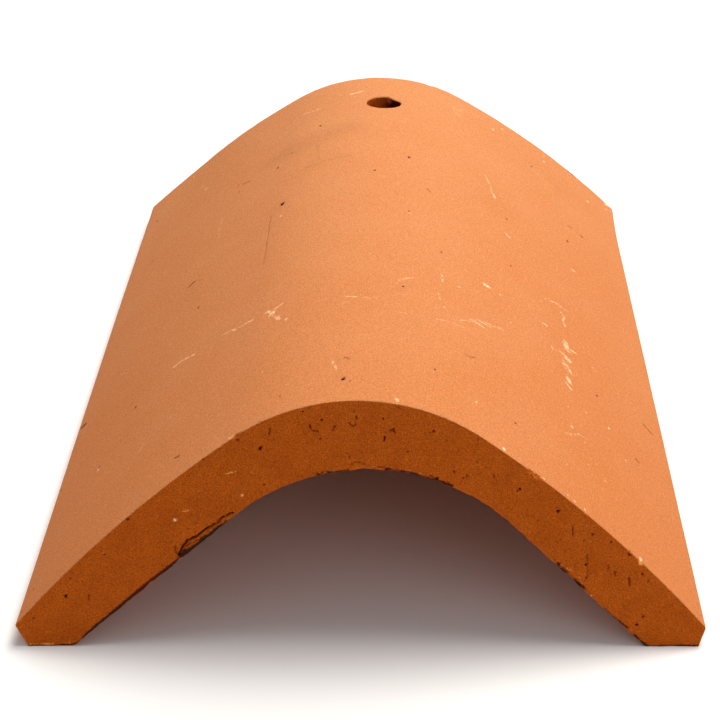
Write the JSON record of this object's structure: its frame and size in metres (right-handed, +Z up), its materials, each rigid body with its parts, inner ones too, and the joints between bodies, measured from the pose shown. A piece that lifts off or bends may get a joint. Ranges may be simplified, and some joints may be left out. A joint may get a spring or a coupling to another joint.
{
  "type": "ridge and hip roof tile",
  "caption": "Thick terracotta hog-back roof tile with a rounded crown, straight feet and a nail hole near its lower head end, for covering a hip or ridge.",
  "frame": {"origin": "centre of the bounding box in plan, on the plane of the two feet", "axes": "+Z up, +Y along the tile from the wide tail end to the narrower head end with the nail hole, +X across the tile"},
  "size_m": [0.2, 0.3, 0.0752],
  "materials": {
    "fired_clay": "unglazed fired terracotta, matt, with light scuffs and small pits"
  },
  "bodies": {
    "root": {"roof_tile": "fired_clay"}
  },
  "joints": []
}
